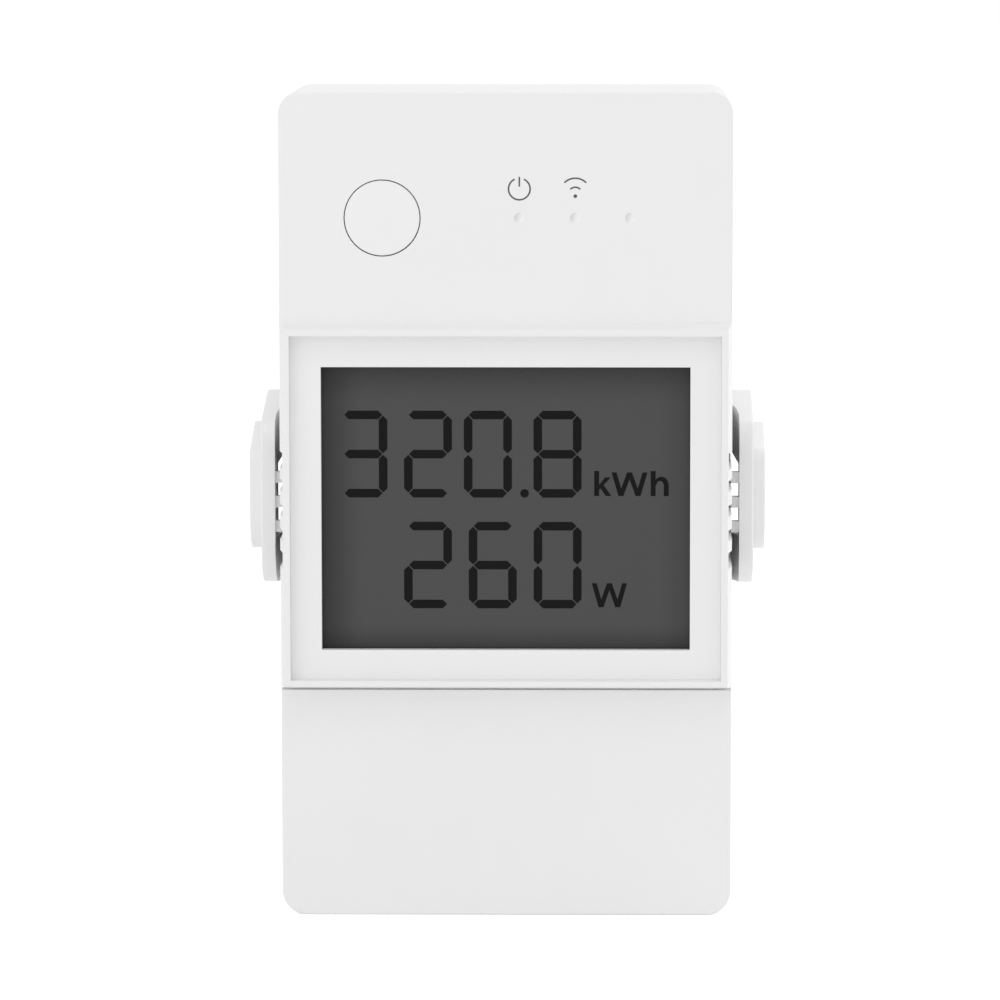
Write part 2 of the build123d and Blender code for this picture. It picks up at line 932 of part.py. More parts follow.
def relay_case():
    base = main_board_front + relay_base_thickness
    shape = chip(relay_place, relay_width, relay_height, (base, relay_case_depth))
    shape = fillet(shape.edges().filter_by(Axis.Y), relay_round)
    inside = chip(
        relay_place,
        relay_width - 2 * relay_case_wall,
        relay_height - 2 * relay_case_wall,
        (base - overrun, relay_case_depth - relay_case_wall),
    )
    return shape - inside


def relay_yoke():
    """Foot under the coil and an arm up to the armature's edge."""
    base = main_board_front + relay_base_thickness
    x = (relay_place[0] - yoke_width / 2, relay_place[0] + yoke_width / 2)
    foot = span(x, (base, base + yoke_foot), (yoke_low_level, yoke_arm_level))
    arm = span(x, (base, yoke_top_depth), (yoke_arm_level - yoke_thickness, yoke_arm_level))
    return foot + arm


def relay_coil():
    place = (relay_place[0], coil_low + coil_end_radius)
    coil_front = coil_back + coil_length
    shape = rod(place, coil_radius, (coil_back, coil_front))
    shape += rod(place, coil_end_radius, (coil_back, coil_back + coil_end))
    shape += rod(place, coil_end_radius, (coil_front - coil_end, coil_front))
    return shape + rod(place, core_radius, (coil_front, coil_front + core_stick_out))


def relay_armature():
    low = yoke_top_depth + armature_gap
    x = (relay_place[0] - yoke_width / 2, relay_place[0] + yoke_width / 2)
    return span(x, (low, low + armature_thickness), (yoke_low_level, yoke_arm_level))


def transformer_core():
    """Double-E core: an outer frame with a centre leg between two windows."""
    shape = chip(transformer_place, core_width, core_height, (core_low_depth, core_high_depth))
    window = (core_width - core_centre_leg) / 2 - core_leg
    offset = core_centre_leg / 2 + window / 2
    depth = (core_low_depth + core_leg, core_high_depth - core_leg)
    for side in (-1, 1):
        place = (transformer_place[0] + side * offset, transformer_place[1])
        shape -= chip(place, window, core_height + overrun, depth)
    return shape


def transformer_bobbin():
    """Foot plate, and the winding that fills the core's windows."""
    x, level = transformer_place
    foot = chip(transformer_place, core_width, bobbin_height, (main_board_front, core_low_depth))
    outer = core_width - 2 * core_leg - 2 * winding_gap
    depth = (core_low_depth + core_leg + winding_gap, core_high_depth - core_leg - winding_gap)
    ring = chip(transformer_place, outer, bobbin_height, depth)
    ring = fillet(ring.edges().filter_by(Axis.Y), part_round)
    leg_gap = 2 * winding_gap
    ring -= chip(transformer_place, core_centre_leg + leg_gap, core_height + leg_gap, depth)
    shape = foot + ring
    for side in (-1, 1):
        edge = level + side * bobbin_height / 2
        levels = sorted((edge, edge - side * bobbin_wall))
        half = outer / 2 - part_round
        shape += span((x - half, x + half), (core_low_depth, depth[0]), levels)
    return shape


def capacitor(place, radius, length):
    shape = rod(place, radius, (main_board_front, main_board_front + length))
    groove_low = main_board_front + can_groove_at
    band = rod(place, radius + overrun, (groove_low, groove_low + can_groove))
    core = rod(place, radius - can_groove, (groove_low, groove_low + can_groove))
    return fillet(shape.edges().group_by(Axis.Y)[0], part_round) - (band - core)


def bulk_capacitors():
    return group([
        capacitor(bulk_place, bulk_radius, bulk_length),
        capacitor(filter_place, filter_radius, filter_length),
    ])


def film_capacitor():
    depth = (main_board_front, main_board_front + film_length)
    shape = chip(film_place, film_width, film_height, depth)
    front = shape.edges().group_by(Axis.Y)[0]
    return fillet(front + shape.edges().filter_by(Axis.Y), part_round)


def varistor():
    x, level = varistor_place
    centre = main_board_front + varistor_stand + varistor_radius
    shape = Pos(x, -centre, level) * Cylinder(varistor_radius, varistor_thickness)
    shape = fillet(shape.edges().filter_by(GeomType.CIRCLE), part_round)
    for side in (-1, 1):
        shape += rod((x + side * leg_spread, level), leg_radius, (main_board_front, centre))
    return shape


def fuse():
    shape = rod(fuse_place, fuse_radius, (main_board_front, main_board_front + fuse_length))
    return fillet(shape.edges().group_by(Axis.Y)[0], part_round)


def current_shunt():
    """Strip bent into a bridge with a foot at each end."""
    x, level = shunt_place
    levels = (level - shunt_strip / 2, level + shunt_strip / 2)
    top = main_board_front + shunt_rise
    half = shunt_width / 2
    shape = span((x - half, x + half), (top - shunt_thickness, top), levels)
    for side in (-1, 1):
        edge = x + side * half
        leg = sorted((edge, edge - side * shunt_thickness))
        foot = sorted((edge, edge + side * shunt_foot))
        shape += span(leg, (main_board_front, top), levels)
        shape += span(foot, (main_board_front, main_board_front + shunt_thickness), levels)
    return shape


def metering_chip():
    return chip(meter_place, meter_width, meter_height, (main_board_front, main_board_front + meter_thickness))


def release_level():
    """Middle of the release buttons, over the clamp cages."""
    return (terminal_bottom + terminal_entry_wall + terminal_top - terminal_far_wall) / 2


def terminal_housing():
    width = terminal_count * terminal_pitch + 2 * terminal_side
    shape = wide(width, (main_board_front, terminal_depth), (terminal_bottom, terminal_top))
    front = shape.faces().sort_by(Axis.Y)[0]
    shape = fillet(front.edges(), terminal_round)
    level = (terminal_bottom + terminal_entry_wall, terminal_top - terminal_far_wall)
    for x in centred_steps(terminal_count, terminal_pitch):
        chamber_x = (x - chamber_width / 2, x + chamber_width / 2)
        depth = (main_board_front + terminal_back_wall, terminal_inner)
        shape -= span(chamber_x, depth, level)
        way = Cylinder(wire_radius, terminal_entry_wall + 2 * overrun)
        shape -= Pos(x, -wire_depth, terminal_bottom + terminal_entry_wall / 2) * way
        mouth = (release_width + 2 * release_gap, release_height + 2 * release_gap)
        slot = (terminal_inner - overrun, terminal_depth + overrun)
        shape -= chip((x, release_level()), *mouth, slot)
    return shape


def terminal_clamps():
    """Square clamp cages, one in each chamber, open along the wire's way."""
    cages = []
    level = (terminal_bottom + terminal_entry_wall + touch_gap, terminal_top - terminal_far_wall - touch_gap)
    half = chamber_width / 2 - touch_gap
    for x in centred_steps(terminal_count, terminal_pitch):
        cage = span((x - half, x + half), (cage_low, cage_low + cage_depth), level)
        inner = half - cage_skin
        around = (level[0] - overrun, level[1] - cage_skin)
        skin = (cage_low + cage_skin, cage_low + cage_depth - cage_skin)
        cage -= span((x - inner, x + inner), skin, around)
        cages.append(cage)
    return group(cages)


def terminal_button(x):
    """Release button: a head in its slot, a flange behind the front wall and a foot over the clamp."""
    place = (x, release_level())
    head = chip(place, release_width, release_height, (flange_front, terminal_depth + release_stick_out))
    head = fillet(head.faces().sort_by(Axis.Y)[0].edges(), release_round)
    reach = 2 * release_flange_reach
    flange = chip(place, release_width + reach, release_height + reach, (flange_back, flange_front))
    foot = chip(place, release_width, release_height, (flange_back - release_foot, flange_back))
    return head + flange + foot


def cross_recess(place, seat, toward_front):
    """Cross cut in a screw head, from its outer face inwards."""
    depth = sorted((seat, seat + toward_front * recess_sink))
    return chip(place, 2 * recess_reach, recess_cross, depth) + chip(place, recess_cross, 2 * recess_reach, depth)


def housing_screw(place):
    head_back = screw_seat_depth - screw_head
    shape = rod(place, screw_head_radius, (head_back, screw_seat_depth))
    shape = fillet(shape.edges().group_by(Axis.Y)[-1], edge_round)
    shape += rod(place, screw_radius, (screw_seat_depth, screw_seat_depth + screw_length))
    return shape - cross_recess(place, head_back, 1)


def board_screw(place, board_face, into_front):
    """Pan-head screw on one face of a board; into_front is 1 when its point looks forward."""
    head_end = board_face - into_front * board_screw_head
    tip = board_face + into_front * board_screw_length
    shape = rod(place, board_screw_head_radius, sorted((head_end, board_face)))
    outer = 0 if into_front < 0 else -1
    shape = fillet(shape.edges().group_by(Axis.Y)[outer], edge_round)
    shape += rod(place, board_screw_radius, sorted((board_face, tip)))
    return shape - cross_recess(place, head_end, into_front)


def housing_screws():
    return group([housing_screw(place) for place in post_places()])


def display_board_screws():
    return group([board_screw(place, display_board_depth, 1) for place in display_screw_places()])


def main_board_screws():
    return group([board_screw(place, main_board_front, -1) for place in main_screw_places()])


pieces = [
    rear_housing,
    front_housing,
    left_vent_hood,
    right_vent_hood,
    terminal_cover,
    display_bezel,
    display_polarizer,
    display_glass,
    display_reflector,
    display_backlight,
    display_contacts,
    display_board,
    button_cap,
    switch_body,
    switch_plunger,
    light_guide,
    status_lights,
    controller_chip,
    radio_module,
    radio_can,
    header_strips,
    header_pins,
    main_board,
    relay_base,
    relay_case,
    relay_yoke,
    relay_coil,
    relay_armature,
    transformer_core,
    transformer_bobbin,
    bulk_capacitors,
    film_capacitor,
    varistor,
    fuse,
    current_shunt,
    metering_chip,
    terminal_housing,
    terminal_clamps,
    housing_screws,
    display_board_screws,
    main_board_screws,
]

os.makedirs("parts", exist_ok=True)
for piece in pieces:
    export_step(piece(), f"parts/{piece.__name__}.step")
for number, x in enumerate(centred_steps(terminal_count, terminal_pitch), start=1):
    export_step(terminal_button(x), f"parts/terminal_button_{number}.step")
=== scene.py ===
import math

import bmesh
import bpy
from bpy.props import FloatProperty, FloatVectorProperty, PointerProperty
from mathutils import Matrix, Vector


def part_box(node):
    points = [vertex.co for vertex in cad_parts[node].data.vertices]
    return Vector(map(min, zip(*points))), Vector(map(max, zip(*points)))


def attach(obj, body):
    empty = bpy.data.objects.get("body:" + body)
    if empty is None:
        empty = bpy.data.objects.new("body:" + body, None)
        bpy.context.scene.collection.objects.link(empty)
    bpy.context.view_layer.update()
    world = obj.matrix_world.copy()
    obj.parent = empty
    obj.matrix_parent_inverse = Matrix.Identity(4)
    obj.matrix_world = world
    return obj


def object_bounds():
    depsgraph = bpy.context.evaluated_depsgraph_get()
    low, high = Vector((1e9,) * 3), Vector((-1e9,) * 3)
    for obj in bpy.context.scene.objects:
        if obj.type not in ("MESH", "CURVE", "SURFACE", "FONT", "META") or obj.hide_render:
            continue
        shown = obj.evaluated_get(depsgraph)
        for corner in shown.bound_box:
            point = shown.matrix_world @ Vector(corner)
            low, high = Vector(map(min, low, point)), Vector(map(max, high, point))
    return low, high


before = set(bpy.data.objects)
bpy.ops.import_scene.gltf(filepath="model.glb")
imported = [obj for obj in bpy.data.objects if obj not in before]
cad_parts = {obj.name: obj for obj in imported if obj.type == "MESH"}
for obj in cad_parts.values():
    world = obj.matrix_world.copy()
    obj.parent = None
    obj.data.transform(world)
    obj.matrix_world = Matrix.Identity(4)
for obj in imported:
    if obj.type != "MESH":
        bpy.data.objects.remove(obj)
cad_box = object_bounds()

bl_info = {
    "name": "Smart energy monitor",
    "version": (1, 0, 0),
    "blender": (4, 5, 0),
    "location": "3D View > Sidebar > Monitor",
    "description": "Finishes, display digits, signs and a studio stage for a wall-mounted energy monitor",
    "category": "Add Mesh",
}

MM = 0.001

# These values are in millimetres, the lamps' in metres. x runs right and z up, both from the part's middle.

# Seven-segment names: a top, b and c right, d bottom, e and f left, g middle.
SEGMENTS_LIT = {"0": "abcdef", "2": "abged", "3": "abcdg", "6": "acdefg", "8": "abcdefg"}

# Digits as their character, the x of the left segments' middle and the z of the bottom segment's middle.
READOUT = (
    ("3", -19.16, 1.70), ("2", -11.53, 1.70), ("0", -4.45, 1.70), ("8", 3.78, 1.70),
    ("2", -11.56, -11.51), ("6", -3.89, -11.51), ("0", 3.79, -11.51),
)
POINT_PLACE = (2.21, 1.70)
POINT_RADIUS = 0.505
POINT_SIDES = 48

# Unit letters: each one's lower left corner and, for a W, its width and height; then the width of a W's
# strokes, the share of its width at which its left foot stands, and the small letters' stems.
K_PLACE = (10.45, 1.4)
UPPER_W = ((12.5, 1.4), (4.24, 2.8))
H_PLACE = (17.13, 1.4)
LOWER_W = ((10.17, -11.87), (4.17, 2.86))
W_STROKE = 0.58
W_FOOT_SHARE = 0.262
STEM_WIDTH = 0.57
STEM_HEIGHT = 2.97

# Painted shade on the display film at its edges, where the window's walls shade it: axis, where it is
# deepest, where it ends and what light is left.
FILM_EDGE_SHADE = (
    ("X", -21.3, -16.5, 0.55), ("X", 21.3, 17.5, 0.84), ("Z", 17.0, 12.0, 0.62), ("Z", -16.8, -13.5, 0.64),
)

# Dark foam gasket of the display window, which stands in for the shade at the window's edge: how far the
# glass reaches past it on each side, its thickness and its depth.
GLASS_MARGIN = 1.82
SHADE_GASKET_THICKNESS = 0.04
SHADE_GASKET_DEPTH = 0.15

# Dark seal in the gap round the power button, which stands in for the shade in the gap: the gap's inner
# radius and width, how far the seal lies back from the button's face, how deep it is, its play to both sides
# and the steps of half its round.
BUTTON_RADIUS = 4.44
BUTTON_GAP = 0.1
SHADE_SEAL_SINK = 0.06
SHADE_SEAL_DEPTH = 0.3
SHADE_SEAL_PLAY = 0.006
SHADE_SEAL_STEPS = 60

# Lip in the seam over the cover: how far it lies back, its depth, its height and its gap to the cover.
LIP_SINK = 0.7
LIP_DEPTH = 1.0
LIP_HEIGHT = 0.38
LIP_GAP = 0.02

# Status lights: the x of each, their shared z and radius, and how far a lens stays off what is round it.
LIGHT_PLACES = (1.63, 8.2, 14.7)
LIGHT_LEVEL = 34.26
LIGHT_RADIUS = 0.66
LENS_SINK = 0.003

# Painted shade on a lens, where its dished face turns from the light: the way it deepens in x and z; then
# where it is deepest, where it ends, what light is left.
LENS_PAINTED_SHADE_WAY = (-0.9, 0.3)
LENS_PAINTED_SHADE = (0.66, -0.37, 0.77)

# Angles are in degrees, from 0 at the right round over 90 at the top. A stroke's round end has a few steps.
TOP_ANGLE = 90
FULL_TURN = 360
CAP_STEPS = 8

# Power sign: the ring's middle, radius, opening at the top and steps, and the foot and height of its bar.
POWER_PLACE = (1.62, 37.67)
POWER_RADIUS = 1.27
POWER_OPENING = 57
POWER_STEPS = 72
POWER_BAR_FOOT = 37.95
POWER_BAR_HEIGHT = 1.15

# Radio sign: its x, its arcs as their middle's z, radius, reach to each side and steps, and its dot.
RADIO_X = 8.2
RADIO_ARCS = ((37.14, 1.8, 43, 36), (37.06, 0.82, 41, 24))
RADIO_DOT_LEVEL = 36.83
RADIO_DOT_RADIUS = 0.22
RADIO_DOT_SIDES = 24

# Wire of the relay's coil: its pitch, and the period of a wave texture at a scale of 1
WIRE_PITCH = 0.35
WAVE_PERIOD = 0.314

# Colours of full shade, of the dark foam that stands in as painted shade round the button and the window,
# and of plated holes
BLACK = (0, 0, 0)
SHADE_FOAM_BLACK = (0.018, 0.018, 0.019)
PLATED_PAD = (0.62, 0.6, 0.52)

# Lamps: name, way from the part to the lamp, distance and width in metres, and the setting of its power.
LAMPS = (
    ("main_lamp", (-0.5, -0.8, 0.3), 1.0, 0.8, "key_power"),
    ("side_lamp", (0.85, 0.3, 0.25), 0.9, 0.5, "side_power"),
    ("rim_lamp", (0.1, 0.6, 0.8), 1.0, 0.5, "rim_power"),
    ("top_lamp", (0.05, -0.5, 0.87), 1.0, 0.6, "top_power"),
)

# Floor: how far it reaches each way from the part, and its glow where the camera sees it
FLOOR_REACH = 4000
FLOOR_GLOW = 0.5

# Camera, solved from the outline in the photograph: its place, its degrees down and to the left, its lens,
# the width of its sensor and its sideways shift.
CAMERA_PLACE = (13.718, -655.107, 72.916)
CAMERA_PITCH = 6.549
CAMERA_TURN = 0.635
CAMERA_LENS = 192.19
CAMERA_SENSOR = 36.0
CAMERA_SHIFT = -0.06308


# Sizes and colours that a user would change

class CaseColours(bpy.types.PropertyGroup):
    case: FloatVectorProperty(
        name="Case plastic", description="Colour of the two shells, the cover and the vent hoods",
        subtype="COLOR", size=3, min=0, max=1, default=(0.88, 0.88, 0.88),
    )
    button: FloatVectorProperty(
        name="Button plastic", description="Colour of the round power button",
        subtype="COLOR", size=3, min=0, max=1, default=(0.89, 0.89, 0.89),
    )
    panel: FloatVectorProperty(
        name="Display panel", description="Colour of the display where no segment is lit",
        subtype="COLOR", size=3, min=0, max=1, default=(0.068, 0.068, 0.069),
    )
    segment: FloatVectorProperty(
        name="Display segments", description="Colour of the lit segments and the unit letters",
        subtype="COLOR", size=3, min=0, max=1, default=(0.0095, 0.0095, 0.0095),
    )
    lens: FloatVectorProperty(
        name="Light lenses", description="Colour of the ends of the status lights when they are off",
        subtype="COLOR", size=3, min=0, max=1, default=(0.9, 0.9, 0.9),
    )
    print_ink: FloatVectorProperty(
        name="Printed signs", description="Colour of the ink of the two signs over the status lights",
        subtype="COLOR", size=3, min=0, max=1, default=(0.12, 0.12, 0.122),
    )


class ReadoutSizes(bpy.types.PropertyGroup):
    digit_width: FloatProperty(
        name="Digit width", description="Distance between the middles of the left and right segments",
        default=4.66 * MM, unit="LENGTH",
    )
    half_height: FloatProperty(
        name="Half height", description="Distance from the middle segment to the top or bottom one",
        default=4.65 * MM, unit="LENGTH",
    )
    stroke: FloatProperty(
        name="Segment thickness", description="Thickness of one segment", default=1.01 * MM, unit="LENGTH",
    )
    tip_gap: FloatProperty(
        name="Tip gap", description="How far a segment's point stops short of the corner",
        default=0.09 * MM, unit="LENGTH",
    )
    thickness: FloatProperty(
        name="Film thickness", description="How far segments stand proud of the film; the ink, half as far",
        default=0.02 * MM, unit="LENGTH",
    )
    ink_width: FloatProperty(
        name="Sign stroke", description="Width of the strokes of the printed signs",
        default=0.187 * MM, unit="LENGTH",
    )


class StageSettings(bpy.types.PropertyGroup):
    key_power: FloatProperty(
        name="Main lamp", description="Power of the lamp at the front left", default=1.15, unit="POWER",
    )
    side_power: FloatProperty(
        name="Side lamp", description="Power of the lamp at the right", default=1.5, unit="POWER",
    )
    top_power: FloatProperty(
        name="Top lamp", description="Power of the lamp above the front", default=1.0, unit="POWER",
    )
    rim_power: FloatProperty(
        name="Rim lamp", description="Power of the lamp above and behind", default=0.75, unit="POWER",
    )
    sky: FloatProperty(
        name="Sky level", description="Brightness of the even light all round", default=0.745, min=0,
    )
    floor: FloatVectorProperty(
        name="Floor", description="Colour of the floor",
        subtype="COLOR", size=3, min=0, max=1, default=(0.92, 0.92, 0.92),
    )


# Node helpers

class Term:
    """A node's output that can stand in a sum; each operator adds one Math node."""

    def __init__(self, nodes, socket):
        self.nodes = nodes
        self.socket = socket

    def _math(self, operation, left, right):
        return self.nodes.add("ShaderNodeMath", {"operation": operation}, {0: left, 1: right})

    def __add__(self, other):
        return self._math("ADD", self, other)

    def __radd__(self, other):
        return self._math("ADD", other, self)

    def __sub__(self, other):
        return self._math("SUBTRACT", self, other)

    def __rsub__(self, other):
        return self._math("SUBTRACT", other, self)

    def __mul__(self, other):
        return self._math("MULTIPLY", self, other)

    def __rmul__(self, other):
        return self._math("MULTIPLY", other, self)

    def __lt__(self, other):
        return self._math("LESS_THAN", self, other)

    def __gt__(self, other):
        return self._math("GREATER_THAN", self, other)


class Nodes:
    """A node tree under construction."""

    def __init__(self, tree):
        self.tree = tree
        tree.nodes.clear()

    def add(self, kind, settings=None, sockets=None, output=0):
        """Add a node, make its settings, fill or link its sockets, and give one of its outputs."""
        node = self.tree.nodes.new(kind)
        for name, value in (settings or {}).items():
            setattr(node, name, value)
        for name, value in (sockets or {}).items():
            if isinstance(value, Term):
                self.tree.links.new(value.socket, node.inputs[name])
            else:
                node.inputs[name].default_value = value
        return Term(self, node.outputs[output]) if node.outputs else None

    def seen(self):
        """1 or more for rays that show a thing, straight, mirrored or through glass, and 0 for others."""
        camera, glossy, through = (
            self.add("ShaderNodeLightPath", output=f"Is {kind} Ray")
            for kind in ("Camera", "Glossy", "Transmission")
        )
        return camera + glossy + through


class Finish(Nodes):
    """A node material under construction, in millimetres of the object's own frame."""

    # Places of a Mix node's sockets for colours
    MIX_LOW, MIX_HIGH, MIX_RESULT = 6, 7, 2

    def __init__(self, name):
        self.material = bpy.data.materials.new(name)
        self.material.use_nodes = True
        super().__init__(self.material.node_tree)
        self.place = None

    def where(self):
        """The place on the object, in millimetres."""
        if self.place is None:
            metres = self.add("ShaderNodeTexCoord", output="Object")
            sockets = {0: metres, "Scale": 1 / MM}
            self.place = self.add("ShaderNodeVectorMath", {"operation": "SCALE"}, sockets)
        return self.place

    def axis(self, letter):
        """The X, Y or Z of the place on the object, in millimetres."""
        return self.add("ShaderNodeSeparateXYZ", {}, {0: self.where()}, letter)

    def stretched(self, x, y, z):
        """The place multiplied along each axis; a number below 1 draws a pattern out that way."""
        return self.add("ShaderNodeVectorMath", {"operation": "MULTIPLY"}, {0: self.where(), 1: (x, y, z)})

    def fade(self, value, dim_at, full_at, dim):
        """Smooth rise from a dim level at one value to 1 at another."""
        return self.add("ShaderNodeMapRange", {"interpolation_type": "SMOOTHSTEP"}, {
            "Value": value, "From Min": dim_at, "From Max": full_at, "To Min": dim, "To Max": 1.0,
        })

    def noise(self, size, detail, place=None):
        """Soft random variation from 0 to 1; size is that of one blotch in millimetres."""
        return self.add("ShaderNodeTexNoise", {"noise_dimensions": "3D"}, {
            "Vector": place or self.where(), "Scale": 1 / size, "Detail": detail, "Roughness": 0.5,
        })

    def mix(self, factor, low, high):
        """One colour going over into another."""
        sockets = {0: factor}
        for index, colour in ((self.MIX_LOW, low), (self.MIX_HIGH, high)):
            sockets[index] = colour if isinstance(colour, Term) else (*colour, 1)
        settings = {"data_type": "RGBA", "clamp_factor": True}
        return self.add("ShaderNodeMix", settings, sockets, self.MIX_RESULT)

    def bump(self, height, depth):
        """Surface relief; depth is in millimetres."""
        return self.add("ShaderNodeBump", {}, {"Height": height, "Distance": depth * MM})

    def surface(self, **sockets):
        """The finished material; underscores stand for the spaces in the sockets' names."""
        named = {name.replace("_", " "): value for name, value in sockets.items()}
        self.add("ShaderNodeOutputMaterial", {}, {"Surface": self.add("ShaderNodeBsdfPrincipled", {}, named)})
        return self.material


def shade(colour, factor):
    """A colour made darker or lighter, at most white."""
    return tuple(min(1.0, part * factor) for part in colour)


# Finishes. Sizes of noise and depths of relief are in millimetres.

def moulded(name, colour, roughness=0.5, grain=0.3, relief=0.004, mottle=0.02):
    """Moulded plastic: fine spark-eroded grain, faint flow marks and uneven gloss."""
    finish = Finish(name)
    fine = finish.noise(grain, 3)
    broad = finish.noise(14, 2)
    flow = finish.noise(2.5, 2, finish.stretched(1, 1, 0.15))
    return finish.surface(
        Base_Color=finish.mix(broad * 0.7 + flow * 0.3, shade(colour, 1 - mottle), shade(colour, 1 + mottle)),
        Roughness=roughness + (fine - 0.5) * 0.12 + (broad - 0.5) * 0.06,
        Normal=finish.bump(fine * 0.8 + flow * 0.2, relief),
    )


def rolled_metal(name, colour, roughness, along=(1, 0.04, 1)):
    """Sheet or drawn metal: streaks along the rolling direction and a cloudy plating."""
    finish = Finish(name)
    streak = finish.noise(0.12, 2, finish.stretched(*along))
    cloud = finish.noise(2.2, 3)
    return finish.surface(
        Base_Color=finish.mix(cloud, shade(colour, 0.82), colour),
        Metallic=1.0,
        Roughness=roughness + (streak - 0.5) * 0.2 + (cloud - 0.5) * 0.12,
        Normal=finish.bump(streak, 0.003),
    )


def circuit_board(name, mask, trace):
    """Solder mask over copper tracks that run square across the board, with small plated holes."""
    finish = Finish(name)
    # Bricks lie in their texture's x and y, so the board's x and z go there and its depth takes no part.
    face = finish.add("ShaderNodeCombineXYZ", {}, {"X": finish.axis("X"), "Y": finish.axis("Z")})
    track = finish.add("ShaderNodeTexBrick", {"offset": 0.35, "squash": 0.6, "squash_frequency": 3}, {
        "Vector": face, "Scale": 0.34, "Mortar Size": 0.05, "Brick Width": 1.3, "Row Height": 0.42,
    }, "Fac")
    holes = finish.add("ShaderNodeTexVoronoi", {}, {
        "Vector": face, "Scale": 0.22, "Randomness": 0.9,
    }, "Distance")
    plated = holes < 0.075
    weave = finish.noise(0.5, 2)
    return finish.surface(
        Base_Color=finish.mix(plated, finish.mix(track, mask, trace), PLATED_PAD),
        Roughness=0.34 + weave * 0.16,
        Metallic=plated * 0.9,
        Normal=finish.bump(track + weave * 0.15, 0.02),
        Coat_Weight=0.25,
        Coat_Roughness=0.2,
    )


def wound_wire(name, colour):
    """Enamelled wire in tight turns round the coil's depth, with painted shade in the grooves between turns.
    """
    finish = Finish(name)
    ridge = finish.add("ShaderNodeTexWave", {
        "wave_type": "BANDS", "bands_direction": "Y", "wave_profile": "SIN",
    }, {
        "Vector": finish.where(), "Scale": WAVE_PERIOD / WIRE_PITCH, "Distortion": 0.3, "Detail": 1.0,
    }, "Fac")
    cloud = finish.noise(1.5, 2)
    return finish.surface(
        # Painted shade: the colour darkens in the grooves between turns.
        Base_Color=finish.mix(ridge * 0.8 + cloud * 0.2, shade(colour, 0.35), colour),
        Metallic=0.85,
        Roughness=0.5 - ridge * 0.2,
        Normal=finish.bump(ridge, 0.08),
        Coat_Weight=0.5,
        Coat_Roughness=0.15,
    )


def cast_ferrite(name, colour):
    """Dull pressed ferrite with pits and lighter chips."""
    finish = Finish(name)
    pits = finish.noise(0.25, 4)
    chips = finish.noise(1.8, 3)
    return finish.surface(
        Base_Color=finish.mix(chips, shade(colour, 0.7), shade(colour, 1.2)),
        Roughness=0.55 + (pits - 0.5) * 0.4,
        Normal=finish.bump(pits + chips * 0.4, 0.03),
    )


def dipped_coat(name, colour, roughness=0.35):
    """Thick dipped lacquer with a slow ripple."""
    finish = Finish(name)
    ripple = finish.noise(2.4, 1)
    speck = finish.noise(0.3, 2)
    return finish.surface(
        Base_Color=finish.mix(ripple, shade(colour, 0.85), shade(colour, 1.1)),
        Roughness=roughness + (speck - 0.5) * 0.15,
        Normal=finish.bump(ripple + speck * 0.08, 0.12),
        Coat_Weight=0.6,
        Coat_Roughness=0.12,
    )


def clear_sheet(name, colour, roughness, transmission, ior=1.49):
    """Clear or milky moulding with faint ripples."""
    finish = Finish(name)
    ripple = finish.noise(3.0, 2)
    dust = finish.noise(0.35, 2)
    return finish.surface(
        Base_Color=finish.mix(ripple, shade(colour, 0.96), colour),
        Roughness=roughness + (dust - 0.5) * 0.08,
        Normal=finish.bump(ripple, 0.004),
        Transmission_Weight=transmission,
        IOR=ior,
    )


def lens_finish(name, colour):
    """Milky end of a light guide, with painted shade on its upper left side where the dish turns from the
    light.
    """
    finish = Finish(name)
    across, up = LENS_PAINTED_SHADE_WAY
    # Painted shade: the lens's colour darkens towards its upper left.
    lean = finish.axis("X") * across + finish.axis("Z") * up
    cloud = finish.noise(0.3, 2)
    return finish.surface(
        Base_Color=finish.mix(finish.fade(lean, *LENS_PAINTED_SHADE), BLACK, colour),
        Roughness=0.4 + (cloud - 0.5) * 0.1,
        Normal=finish.bump(cloud, 0.002),
    )


def display_film_finish(name, colour):
    """Dark polarizing film: grey with painted edge shade, a fine anti-glare texture and faint streaks."""
    finish = Finish(name)
    # Painted shade: the film's colour darkens towards each edge, where the window's walls cast shade on it.
    light = math.prod(finish.fade(finish.axis(letter), *edge) for letter, *edge in FILM_EDGE_SHADE)
    haze = finish.noise(0.09, 2)
    streak = finish.noise(1.2, 2, finish.stretched(0.3, 1, 2))
    cloud = finish.noise(16, 1)
    tone = finish.mix(cloud * 0.6 + streak * 0.4, shade(colour, 0.97), shade(colour, 1.03))
    return finish.surface(
        Base_Color=finish.mix(light, BLACK, tone),
        Roughness=0.42 + (haze - 0.5) * 0.1,
        Normal=finish.bump(haze, 0.0015),
        Specular_IOR_Level=0.2,
    )


def foam(name, colour):
    """Fine closed-cell foam."""
    finish = Finish(name)
    cells = finish.noise(0.12, 3)
    return finish.surface(
        Base_Color=finish.mix(cells, shade(colour, 0.7), shade(colour, 1.4)),
        Roughness=0.85 + (cells - 0.5) * 0.2,
        Normal=finish.bump(cells, 0.02),
        Specular_IOR_Level=0.2,
    )


def printed_ink(name, colour):
    """Dull ink with fine specks."""
    finish = Finish(name)
    speck = finish.noise(0.08, 3)
    return finish.surface(
        Base_Color=finish.mix(speck, shade(colour, 0.8), shade(colour, 1.15)),
        Roughness=0.6 + (speck - 0.5) * 0.2,
        Normal=finish.bump(speck, 0.002),
        Specular_IOR_Level=0.05,
    )


# Outlines: lists of x and z, seen from the front

def moved(points, place):
    """An outline moved by a place's x and z."""
    return [(x + place[0], z + place[1]) for x, z in points]


def box_outline(x, z, width, height):
    """Rectangle given by its lower left corner and its size."""
    return [(x, z), (x + width, z), (x + width, z + height), (x, z + height)]


